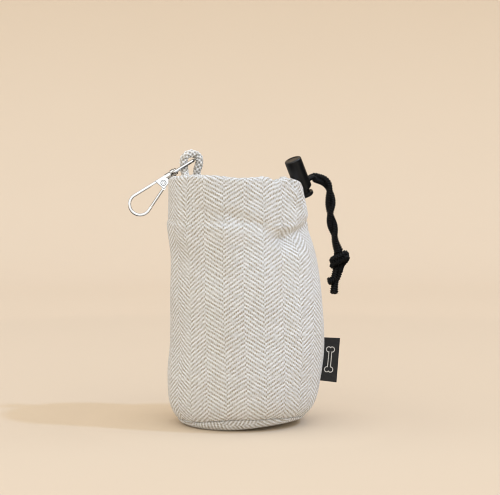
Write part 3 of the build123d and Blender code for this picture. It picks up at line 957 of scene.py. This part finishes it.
def add_linings():
    """Canvas between the cloths, and the cotton lining's wall and base."""
    angle = np.linspace(-180, 180, 181)
    cotton = plain_weave("lining_cotton", (0.70, 0.65, 0.56), 0.45, 0.12)
    canvas = plain_weave("canvas", (0.74, 0.72, 0.67), 0.7, 0.15)
    specs = (
        ("canvas_wall", 10.5, 1.35, 0.8, canvas, "interlining", "wall_interlining"),
        ("lining_wall_cloth", 6.0, 2.5, 0.35, cotton, "lining_cloth", "lining_wall"),
    )
    for name, low, inset, thickness, material, slot, node in specs:
        heights = np.linspace(low, HEM_Z - 0.4, 90)
        sag = 0.25 * np.cos(np.radians(angle) * 9)[None, :] * np.cos(heights / 14)[:, None]
        extra = inset + (np.abs(sag) if name == "lining_wall_cloth" else 0 * sag)
        points = np.array([wall_point(angle, z, extra[k]) for k, z in enumerate(heights)])
        weave = np.stack(np.broadcast_arrays(angle[None, :] * 0.8, heights[:, None]), -1)
        piece = surface(name, points[:, :-1], weave=weave)
        thicken(piece, thickness)
        finish_piece(piece, material, slot, "pouch", node)
    radii = np.linspace(0.05, 43.2, 40)
    a = np.radians(angle)
    rows = []
    for r in radii:
        r = np.minimum(r, base_rim_radius(angle) - 3.4)
        z = 4.9 + 0.3 * np.cos(3 * a + r / 11) * (r / 43) + floor_lift(angle, r)
        rows.append(np.stack([BASE_X + r * np.cos(a), r * np.sin(a), z], -1))
    points = np.array(rows)
    weave = points[..., :2] + 60
    piece = surface("lining_base_cloth", points[:, :-1], weave=weave)
    thicken(piece, 0.3)
    finish_piece(piece, cotton, "lining_cloth", "pouch", "lining_base")


def add_stitching():
    """Channel stitching: one short thread after another, sunk in the cloth on both faces."""
    stitches = []
    count = 96
    z = HEM_Z + 1.2
    for k in range(count):
        start = -180 + (k + 0.12) * 360 / count
        angle = np.linspace(start, start + 0.76 * 360 / count, 6)
        sink = np.array([0.5, 0.1, 0.0, 0.0, 0.1, 0.5])
        for inset, sign in ((HEM_DEPTH, -1), (0.0, 1)):
            line = wall_point(angle, np.full(6, z), inset - sign * 0.12, 0.65 if inset else 1.0)
            turn = np.radians(angle)
            away = np.stack([np.cos(turn), np.sin(turn), 0 * angle], 1)
            line -= sign * sink[:, None] * away
            stitches.append(tube("stitch", line, 0.2, around=6))
    piece = join("channel_stitches", stitches)
    finish_piece(piece, THREAD, "thread", "pouch", "channel_stitching")
    stitches = []
    for k in range(120):
        angle = np.linspace(-180 + 3.0 * k, -180 + 3.0 * k + 2.2, 4)
        line = wall_point(angle, seam_height(angle) - 0.15, 1.7)
        line[:, 2] += np.array([-0.5, 0.15, 0.15, -0.5])
        stitches.append(tube("stitch", line, 0.2, around=6))
    piece = join("base_seam_stitches", stitches)
    finish_piece(piece, THREAD, "thread", "pouch", "base_seam_stitching")


def add_loop():
    """Rolled cloth tube through which the clip's eye hangs."""
    line = resample(smooth_line(LOOP_ROUTE), 0.14)

    def knobbly(along, angle):
        first = np.cos(BEADS * (angle + along / LOOP_R))
        other = np.cos(BEADS * (angle - along / LOOP_R))
        return 0.19 * (first + other) + 0.12 * np.sin(along * 0.9 + 2 * angle)

    piece = tube("cloth_loop", line, LOOP_R, around=112, start=(0, 1, 0), relief=knobbly)
    finish_piece(piece, rolled_cloth(), "herringbone_cloth", "pouch", "clip_loop")


def add_label():
    """Folded woven label: out from the side seam, round the fold and back."""
    top_x, bottom_x = 63.2, 61.0
    low, high = 27.4, 56.0
    half = 0.34
    rows = []
    heights = np.linspace(0, 1, 50)
    for t in heights:
        z = low + t * (high - low)
        centre, radius = section(np.array(z))
        root = centre + radius + relief(np.array(0.0), np.array(z)) - 0.3
        edge = bottom_x + t * (top_x - bottom_x)
        lean = 2.4 * (t - 0.5)
        xs = np.linspace(root, edge - half, 16)
        bow = 0.5 * np.sin(np.pi * (xs - root) / (edge - root)) * (0.4 + 0.6 * np.sin(3.0 * t + 0.4))
        front = np.stack([xs, bow - half, z + 0.03 * lean * (xs - root) - 0.09 * (xs - root) * 0.9], 1)
        fold_angle = np.linspace(-np.pi / 2, np.pi / 2, 7)[1:-1]
        tip = front[-1]
        fold_x = tip[0] + half * np.cos(fold_angle)
        fold_y = tip[1] + half + half * np.sin(fold_angle)
        fold = np.stack([fold_x, fold_y, np.full(5, tip[2])], 1)
        back = front[::-1] + np.array([0, 2 * half, 0])
        rows.append(np.concatenate([front, fold, back]))
    points = np.array(rows)
    reach = np.concatenate([[0], np.cumsum(np.linalg.norm(np.diff(points[0], axis=0), axis=1))])
    half_way = reach[-1] / 2
    across = np.where(reach > half_way, 2 * half_way - reach, reach)
    weave = np.stack(np.broadcast_arrays(across[None, :], (heights * LABEL_LENGTH)[:, None]), -1)
    piece = surface("woven_label", points, closed=False, weave=weave)
    thicken(piece, 0.22)
    finish_piece(piece, woven_label(), "woven_label", "pouch", "side_label")


add_wall()
add_base()
add_board()
add_linings()
add_stitching()
add_loop()
add_label()


# ---------------------------------------------------------------- CAD pieces that stay
def dress_frame():
    wire = spring_wire()
    finishes = {
        "drawstring_ring": CORD, "eyelet": NICKEL, "eyelet_washer": NICKEL, "swivel_eye": NICKEL,
        "hook_body": NICKEL, "gate_rivet": NICKEL, "gate_lever": NICKEL, "gate_spring": wire,
        "lock_spring": wire, "lock_housing": BLACK, "lock_plunger": BLACK,
        "loop_bartacks": THREAD,
    }
    for node, material in finishes.items():
        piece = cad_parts[node]
        for slot in piece.material_slots:
            slot.material = material


dress_frame()


# ---------------------------------------------------------------- floor, light
def backdrop_material():
    m = Material("seamless_paper", Roughness=0.9)
    m.shader.inputs["Specular IOR Level"].default_value = 0.1
    fibres = m.noise(8, 3.0)
    m.wire("Base Color", m.mix(fibres, (0.664, 0.550, 0.418), (0.674, 0.559, 0.427)))
    return m.data


def add_backdrop():
    """Paper sweep: floor towards the camera, turned up behind."""
    bend, back, top, width = 500.0, 1400.0, 2600.0, 3000.0
    outline = [(-1600.0, 0.0), (back - bend, 0.0)]
    for phi in np.linspace(0, np.pi / 2, 24)[1:]:
        outline.append((back - bend + bend * np.sin(phi), bend * (1 - np.cos(phi))))
    outline.append((back, top))
    points = np.array([[(x, y, z) for x in (-width, width)] for y, z in outline])
    paper = surface("paper_sweep", points, closed=False)
    paper.data.materials.append(backdrop_material())


def add_world():
    world = bpy.data.worlds.new("studio")
    bpy.context.scene.world = world
    world.use_nodes = True
    tree = world.node_tree
    background = tree.nodes["Background"]
    place = tree.nodes.new("ShaderNodeTexCoord")
    parts = tree.nodes.new("ShaderNodeSeparateXYZ")
    ramp = tree.nodes.new("ShaderNodeValToRGB")
    tree.links.new(place.outputs["Generated"], parts.inputs[0])
    shift = tree.nodes.new("ShaderNodeMath")
    shift.operation = "MULTIPLY_ADD"
    shift.inputs[1].default_value = 0.5
    shift.inputs[2].default_value = 0.5
    tree.links.new(parts.outputs[2], shift.inputs[0])
    tree.links.new(shift.outputs[0], ramp.inputs[0])
    low, high = ramp.color_ramp.elements
    low.position, low.color = 0.45, (0.70, 0.68, 0.645, 1)
    high.position, high.color = 0.95, (1.0, 0.975, 0.93, 1)
    tree.links.new(ramp.outputs[0], background.inputs["Color"])
    background.inputs["Strength"].default_value = 1.46


def card(name, points, strength):
    """Flat card that only glossy surfaces see: black at strength 0, else glowing."""
    piece = surface(name, np.array(points, float), closed=False)
    data = bpy.data.materials.new(name)
    data.use_nodes = True
    shader = data.node_tree.nodes["Principled BSDF"]
    shader.inputs["Base Color"].default_value = (0.01, 0.01, 0.01, 1)
    shader.inputs["Roughness"].default_value = 1.0
    shader.inputs["Emission Color"].default_value = (0.96, 0.98, 1.0, 1)
    shader.inputs["Emission Strength"].default_value = strength
    piece.data.materials.append(data)
    piece.visible_camera = False
    piece.visible_diffuse = False
    piece.visible_transmission = False
    piece.visible_volume_scatter = False
    piece.visible_shadow = False


def add_cards():
    """What the bright metal reflects: a light card in front and dark flags round the object."""
    front = [[(-900, -1500, z), (900, -1500, z)] for z in (60, 1300)]
    card("front_card", front, 1.35)
    ring_r = 520
    ring_z = 60
    turn = np.radians(np.linspace(-75, 38, 30))
    ring = [[(ring_r * np.cos(t), y, ring_z + ring_r * np.sin(t)) for t in turn] for y in (-330, 480)]
    card("ring_flag", ring, 0.0)
    floor_z = 1.5
    turn = np.radians(np.linspace(-180, 180, 49))
    floor = [[(r * np.cos(t), r * np.sin(t), floor_z) for t in turn] for r in (110, 640)]
    card("floor_flag", floor, 0.0)


def add_light(name, kind, energy, place, target=(0, 0, 0.08), size=1.0, colour=(1, 1, 1)):
    data = bpy.data.lights.new(name, kind)
    data.energy = energy
    data.color = colour
    if kind == "AREA":
        data.shape = "DISK"
        data.size = size
    else:
        data.angle = np.radians(size)
    lamp = bpy.data.objects.new(name, data)
    bpy.context.collection.objects.link(lamp)
    lamp.location = place
    lamp.rotation_euler = (Vector(target) - Vector(place)).to_track_quat("-Z", "Y").to_euler()


add_backdrop()
add_world()
add_cards()
add_light("key", "SUN", 1.05, (1.2, -0.35, 1.75), size=3.0, colour=(0.30, 0.495, 0.87))
bpy.context.scene.view_settings.view_transform = "Standard"
bpy.context.scene.cycles.filter_width = 1.1
